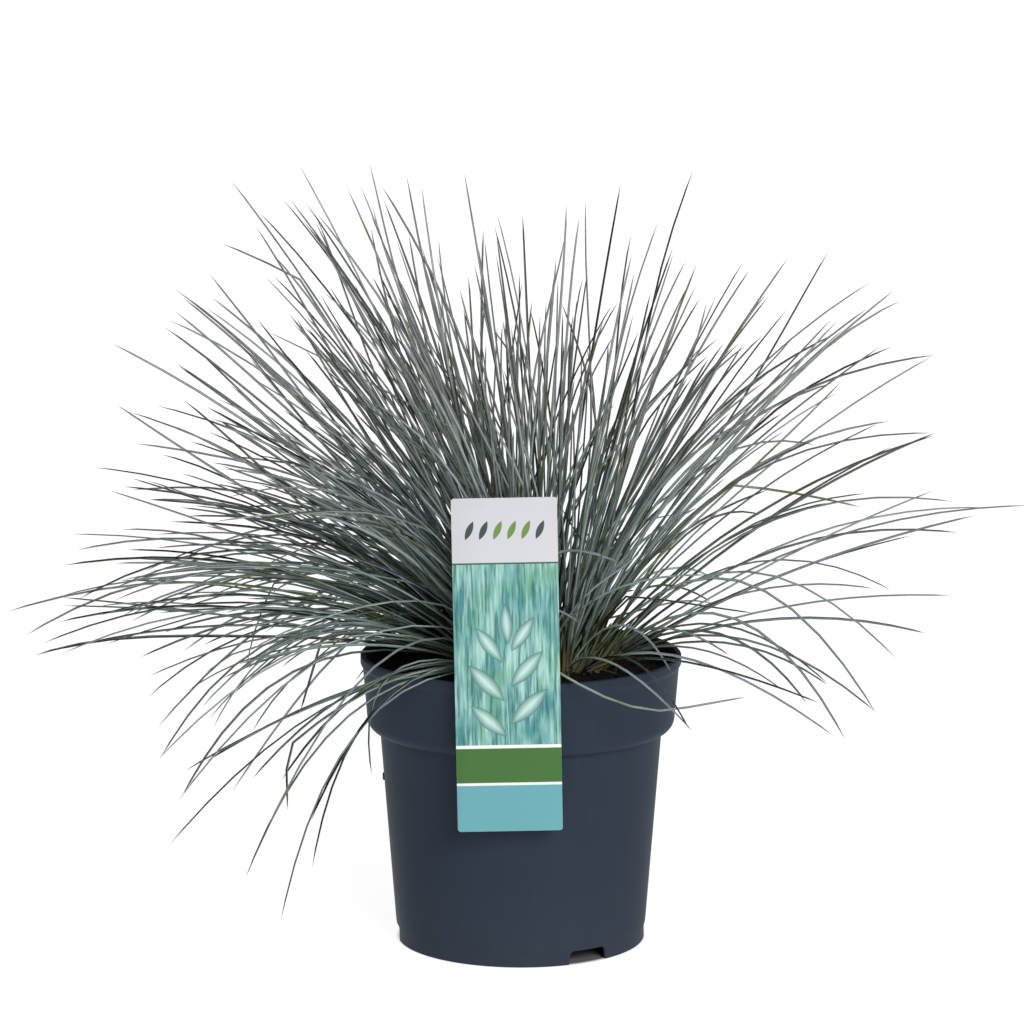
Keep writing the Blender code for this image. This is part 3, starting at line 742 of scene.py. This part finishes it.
def grow_blade(blade, stations, line, across, radius, roll, growth):
    """A copy of a blade laid along a middle line, with its growth at each vertex. Painted shade darkens
    its fold and its keel against its edges, and painted light makes one edge lighter than the other."""
    points, corners, counts = blade
    place = np.searchsorted(np.array([*stations, BLADE_POINT]), points[:, 2] - 1e-4)
    heading = np.gradient(line, axis=0)
    heading /= np.linalg.norm(heading, axis=1)[:, None]
    side = across - heading * (heading @ across)[:, None]
    side /= np.linalg.norm(side, axis=1)[:, None]
    front = np.cross(heading, side)
    turn = math.radians(roll)
    wide = (points[:, 0] * math.cos(turn) - points[:, 1] * math.sin(turn))[:, None] * radius
    deep = (points[:, 0] * math.sin(turn) + points[:, 1] * math.cos(turn))[:, None] * radius
    growth = growth[place]
    # Painted shade in the fold and along the keel, and painted light on one edge, added to the tone
    growth[:, 0] += 0.9 * abs(points[:, 0]) + 0.15 * points[:, 0] - 0.55
    return line[place] + side[place] * wide + front[place] * deep, corners, counts, growth


def tuft_ends(node):
    """The root of a tuft's solid, and the tip of its longest leaf."""
    points = [vert.co for vert in node.data.vertices]
    in_crown = [point for point in points if (point - CROWN).xy.length < CROWN_RADIUS]
    ground = min(point.z for point in in_crown)
    base = [point for point in in_crown if point.z < ground + 0.1 * MM]
    root = sum(base, Vector()) / len(base)
    return root, max(points, key=lambda point: (point - root).length).copy()


def leaf_growth(length, tone, dead, green, painted_shade_fade=0):
    """Along a leaf: its tone, which may darken outwards as painted shade, how dead it is, and how far it
    is green rather than blue-grey. Its base is green, and painted shade and light near it spread the tone:
    a dark leaf is darker there and a light one lighter."""
    place = np.array([*LEAF_STATIONS, 1])
    growth = np.ones((len(place), 4))
    # Painted shade near the crown, darker for a dark leaf, with painted light for a light one
    painted_shade_at_base = np.clip(1 - place * length / SHADED_BASE, 0, 1)
    green_at_base = np.clip(1.1 - place * length / GREEN_BASE, 0, 1)
    growth[:, 0] = tone - painted_shade_fade * place + (1.2 * tone - 0.75 + painted_shade_fade) * painted_shade_at_base
    growth[:, 1] = np.maximum(dead, np.clip((place - DEAD_TIP) / 0.03, 0, 1) * 0.4)
    growth[:, 2] = np.maximum(green, green_at_base * (1.1 - 0.6 * tone))
    return growth


def vary_leaf(root, reach, shoot, attempt):
    """The middle line of one leaf of a shoot, the direction across it, and its length as a share of the
    tuft's. Most wave a little and sag outwards, and a few are kinked. Each further try is steeper."""
    lean, turn = lean_and_turn(reach)
    steps = len(LEAF_STATIONS)
    # How far it may stray from its shoot, in degrees: one that strays far is shorter, and one that is
    # near upright has to turn further to swing as far aside
    loose = chance.choice((3, 5, 9, shoot["loosest"]))
    share = chance.triangular(0.35, 1.02, 0.94) * (0.88 if loose > 20 else 1)
    down = shoot["down"] + chance.gauss(0, loose) - 0.4 * attempt
    side = (shoot["side"] + chance.gauss(0, loose)) / max(0.45, math.sin(math.radians(lean)))
    leaf_root = shoot["root"] + direction(90, chance.uniform(0, 360)) * LEAF_SPREAD
    target = root + direction(lean + down, turn + side) * reach.length * share
    straightness = chance.uniform(-0.9, 0.6)
    # A wave of a few degrees from step to step, on a slow bend down and aside
    wave = np.linspace(0, chance.uniform(3, 9), steps) + chance.uniform(0, 6.28)
    bends = np.sin(wave) * chance.uniform(0, 6) + np.linspace(0, chance.gauss(2, 7), steps)
    sways = np.cos(wave * 0.8) * chance.gauss(0, 4) + np.linspace(0, chance.gauss(0, 14), steps)
    if chance.random() < KINKED_SHARE:
        kink = chance.randrange(4, 12)
        bends[kink:] += chance.uniform(0, 45)
        sways[kink:] += chance.gauss(0, 22)
    return *leaf_line(leaf_root, target, straightness, bends, sways), share


def grow_leaf(root, tip, shoot, first):
    """One leaf of a shoot, or nothing if no try clears the pot and the label. The first leaf of a tuft
    arches to the tip of its solid, and the others vary."""
    reach = tip - root
    if first:
        still = np.zeros(len(LEAF_STATIONS))
        line, across = leaf_line(root, tip, 0, still, still)
        share = 1
    else:
        for attempt in range(TRIES):
            line, across, share = vary_leaf(root, reach, shoot, attempt)
            if clears(line):
                break
        else:
            return None
    green = chance.uniform(0.35, 1) if chance.random() < GREEN_SHARE else chance.uniform(0, 0.2)
    dead = chance.uniform(0.4, 0.9) if share < 0.7 and chance.random() < DEAD_SHARE else 0
    growth = leaf_growth(reach.length * share, chance.betavariate(0.7, 0.8) + shoot["tone"], dead, green)
    radius = chance.uniform(*LEAF_RADIUS) * (0.85 + 0.15 * share)
    return grow_blade(blade, LEAF_STATIONS, line, across, radius, chance.gauss(0, 35), growth)


def grow_single_leaf(root, places, pale):
    """One leaf on an arch from its root through its given places, and straight on past a kink. Those
    that hang at the left are darkened towards their tips by painted shade."""
    places = np.vstack([np.array(root), np.array(places) * MM])
    spacing = np.linalg.norm(np.diff(places, axis=0), axis=1)
    reached = np.array([0, *np.cumsum(spacing)])
    kink = max(2, len(places) - 2)
    arch = np.polyfit(reached[:kink + 1], places[:kink + 1], kink)
    stations = np.array([*LEAF_STATIONS, 1]) * reached[-1]
    line = np.stack([np.polyval(curve, np.minimum(stations, reached[kink])) for curve in arch.T], axis=1)
    past_kink = np.clip(stations - reached[kink], 0, None)[:, None]
    line += past_kink * (places[-1] - places[kink]) / max(reached[-1] - reached[kink], MM)
    turn = math.degrees(math.atan2(*(places[-1] - places[0])[1::-1]))
    across = np.array(direction(90, turn + 90))
    hang = max(0, places[0][2] - places[-1][2]) / reached[-1]
    # Painted shade: a leaf that hangs at the left is darker towards its tip, the more so the more it hangs
    painted_shade_fade = 0.4 + 2 * hang if places[-1][0] < 0 else 0
    tone = max(pale, chance.uniform(0, 0.9) + painted_shade_fade / 4)
    growth = leaf_growth(reached[-1], tone, 0, chance.uniform(0, 0.25), painted_shade_fade)
    radius = chance.uniform(*LEAF_RADIUS) * (1 + pale / 4)
    return grow_blade(blade, LEAF_STATIONS, line, across, radius, chance.gauss(0, 35), growth)


def grow_litter(root, turn):
    """A short dead leaf that has folded down on the soil at the edge of the crown."""
    reach = direction(chance.uniform(72, 86), turn + chance.gauss(0, 35)) * chance.uniform(*LITTER_LENGTH)
    start = root + direction(90, chance.uniform(0, 360)) * SHOOT_SPREAD + Vector((0, 0, MM))
    steps = len(LEAF_STATIONS)
    bends = np.full(steps, chance.uniform(-2, 4))
    sways = np.linspace(0, chance.gauss(0, 25), steps)
    line, across = leaf_line(start, start + reach, 0.5, bends, sways)
    growth = leaf_growth(reach.length, chance.uniform(0, 0.9), chance.uniform(0.7, 1), 0)
    radius = 0.6 * chance.uniform(*LEAF_RADIUS)
    return grow_blade(blade, LEAF_STATIONS, line, across, radius, chance.gauss(0, 60), growth)


def grow_sheath(foot, lean, turn):
    """The sheath that wraps the leaves of one shoot where they leave the soil: straw-coloured, and
    browner towards its foot."""
    height = chance.uniform(*SHEATH_HEIGHT)
    t = np.array([*SHEATH_STATIONS, BLADE_POINT])[:, None]
    upward = np.array(direction(starting_lean(lean) * 0.75, turn))
    line = np.array(foot - Vector((0, 0, 2 * MM))) + upward * height * t
    growth = np.ones((len(t), 4))
    growth[:, 0] = chance.uniform(-0.4, 1.4)
    growth[:, 1] = np.linspace(chance.uniform(0, 0.8), 0, len(t))
    growth[:, 2] = np.linspace(chance.uniform(1.4, 2.1), 0.7, len(t))
    across = np.array(direction(90, turn + 90))
    radius = chance.uniform(*SHEATH_RADIUS)
    return grow_blade(sheath, SHEATH_STATIONS, line, across, radius, chance.uniform(0, 60), growth)


def grow_tuft(number):
    """All the shoots of one tuft. The clump is fuller and looser to the left, as seen from the front,
    and painted shade darkens its leaves there; each leaf that is placed singly takes the room of two
    others."""
    chance.seed(number)
    root, tip = tuft_ends(nodes[f"tuft_{number:02d}"])
    reach = tip - root
    lean, turn = lean_and_turn(reach)
    seen = math.degrees(math.atan2(reach.z + VIEW_SLOPE * reach.y, reach.x)) % 360
    to_left = seen > 80
    past_down = seen - 360 if seen >= 250 else seen
    count = round(np.interp(past_down, list(FULLNESS), list(FULLNESS.values())))
    singles = SINGLE_LEAVES.get(number, [])
    count = max(1 if singles else 2, count - 2 * len(singles))
    shoots = min(SHOOTS, max(3, count))
    pale = PALE_TONE if number in PALE_TUFTS else 0
    parts = [grow_single_leaf(root, places, pale) for places in singles]
    if number >= FIRST_OUTER_TUFT:
        parts += [grow_litter(root, turn) for _ in range(2)]
    for shoot_number in range(shoots):
        aside = direction(90, chance.uniform(0, 360)) * SHOOT_SPREAD
        shoot = {
            "root": root + aside * math.sqrt(chance.random()),
            "down": chance.gauss(-4 if lean > 75 else -1, 5),
            "side": chance.gauss(0, 12 if to_left else 9),
            "loosest": 24 if to_left else 13,
            # Painted shade on the leaves of tufts that point to the left, and a little painted light on
            # the others
            "tone": -0.12 if seen > 120 else 0.04,
        }
        for leaf in range(count // shoots + (shoot_number < count % shoots)):
            grown = grow_leaf(root, tip, shoot, shoot_number == 0 and leaf == 0)
            if grown:
                parts.append(grown)
        parts.append(grow_sheath(shoot["root"], min(lean + shoot["down"], 80), turn))
    return join_copies(f"tuft_leaves_{number:02d}", parts)


def glaucous_leaf():
    """A fescue leaf: green under a wax bloom that is mottled every 6 mm, goes from green-grey to
    blue-grey over 38 mm, pales far out and is rubbed thin in places of about 22 mm, straw-coloured at
    its sheath and brown where it has died. The growth attribute holds its tone in red, with painted
    shade and light added to it, how dead it is in green, and how green, then straw-coloured, it is in
    blue."""
    finish, tree, shader = start_finish("glaucous fescue leaf", Roughness=0.6, Specular_IOR_Level=0.15)
    place = add_node(tree, "TexCoord").outputs["Object"]
    growth = add_node(tree, "Attribute", attribute_name="growth")
    share = add_node(tree, "SeparateColor", {"Color": growth.outputs["Color"]}).outputs
    bloom = add_node(tree, "TexNoise", {"Vector": place, "Scale": 1 / (6.25 * MM), "Detail": 3}).outputs[0]
    tone = calculate(tree, "MULTIPLY_ADD", bloom, 0.4, calculate(tree, "MULTIPLY", share["Red"], 0.8))
    tone = grade(tree, tone, -0.1, 1.1)
    cool = add_node(tree, "TexNoise", {"Vector": place, "Scale": 1 / (38.46 * MM), "Detail": 2}).outputs[0]
    light = mix_colours(tree, grade(tree, cool, 0.35, 0.65), linear("#a4b7a9"), linear("#a9b4c0"))
    out = add_node(tree, "VectorMath", {0: place}, operation="LENGTH").outputs["Value"]
    light = mix_colours(tree, grade(tree, out, 250 * MM, 360 * MM, 0, 0.8), light, linear("#acaeae"))
    waxy = mix_colours(tree, tone, linear("#101716"), light)
    green = mix_colours(tree, tone, linear("#182012"), linear("#76834c"))
    rubbed = add_node(tree, "TexNoise", {
        "Vector": place, "Scale": 1 / (22.22 * MM), "Detail": 3}).outputs[0]
    bare = calculate(tree, "MULTIPLY_ADD", share["Blue"], grade(tree, rubbed, 0.4, 0.62, 0.3, 1),
                     grade(tree, rubbed, 0.58, 0.7, 0, 0.55))
    colour = mix_colours(tree, grade(tree, bare, 0.05, 1), waxy, green)
    straw = mix_colours(tree, tone, linear("#241f12"), linear("#bcb878"))
    colour = mix_colours(tree, grade(tree, share["Blue"], 1.05, 1.9), colour, straw)
    dead = mix_colours(tree, share["Red"], linear("#5c3524"), linear("#9d8468"))
    colour = mix_colours(tree, share["Green"], colour, dead)
    tree.links.new(colour, shader.inputs["Base Color"])
    return finish


blade = mesh_arrays(model_blade(LEAF_STATIONS, LEAF_TAPER, LEAF_SECTION))
sheath = mesh_arrays(model_blade(SHEATH_STATIONS, SHEATH_TAPER, [
    (math.cos(side * math.tau / SHEATH_SIDES), math.sin(side * math.tau / SHEATH_SIDES))
    for side in range(SHEATH_SIDES)]))
leaf_finish = glaucous_leaf()
for number in range(1, TUFT_COUNT + 1):
    tuft = grow_tuft(number)
    tuft.data.materials.append(leaf_finish)
    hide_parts(f"tuft_{number:02d}")
    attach(tuft, "root")


# The studio
# A white, faintly backlit table that runs on as the backdrop, a white surround and two soft lights.
bpy.ops.mesh.primitive_plane_add(size=40)
floor = bpy.context.object
floor.name = "studio_table"
paper, tree, shader = start_finish("white table", Roughness=0.9, Specular_IOR_Level=0.1)
fleck = add_node(tree, "TexNoise", {"Scale": 30.0}).outputs[0]
tree.links.new(mix_colours(tree, fleck, linear("#828282"), linear("#868686")), shader.inputs["Base Color"])
# Painted shadow: the glow stops under the pot, so the floor there is dark
spot = add_node(tree, "TexCoord").outputs["Object"]
around = add_node(tree, "VectorMath", {0: spot}, operation="LENGTH").outputs["Value"]
glow_with_painted_shadow = grade(tree, around, FOOT_RADIUS - 3 * MM, FOOT_RADIUS + MM, 0, 0.92)
tree.links.new(glow_with_painted_shadow, shader.inputs["Emission Strength"])
shader.inputs["Emission Color"].default_value = (1, 1, 1, 1)
floor.data.materials.append(paper)

world = bpy.data.worlds.new("studio surround")
bpy.context.scene.world = world
world.use_nodes = True
world.node_tree.nodes["Background"].inputs["Color"].default_value = (1, 1, 1, 1)
world.node_tree.nodes["Background"].inputs["Strength"].default_value = 0.16
bpy.context.scene.view_settings.view_transform = "Standard"

# Each light's place in metres, which it shines from to the pot, its strength, and its softness in degrees
for name, place, strength, softness in (
    ("key light", (1, -2.3, 1.35), 2.0, 28),
    ("top light", (-0.6, 0.3, 3), 0.6, 60),
):
    lamp = bpy.data.lights.new(name, "SUN")
    lamp.energy = strength
    lamp.angle = math.radians(softness)
    holder = bpy.data.objects.new(name, lamp)
    holder.location = place
    holder.rotation_euler = (-Vector(place)).to_track_quat("-Z", "Y").to_euler()
    bpy.context.scene.collection.objects.link(holder)

# The camera stands 2.3 m in front of the pot and looks down on it by 9.2 degrees
camera = bpy.data.cameras.new("photo camera")
camera.lens = 139.1
viewer = bpy.data.objects.new("photo camera", camera)
viewer.location = (0, -2.3, 0.63)
viewer.rotation_euler = (math.radians(90 - 9.229), 0, math.radians(0.131))
bpy.context.scene.collection.objects.link(viewer)
bpy.context.scene.camera = viewer
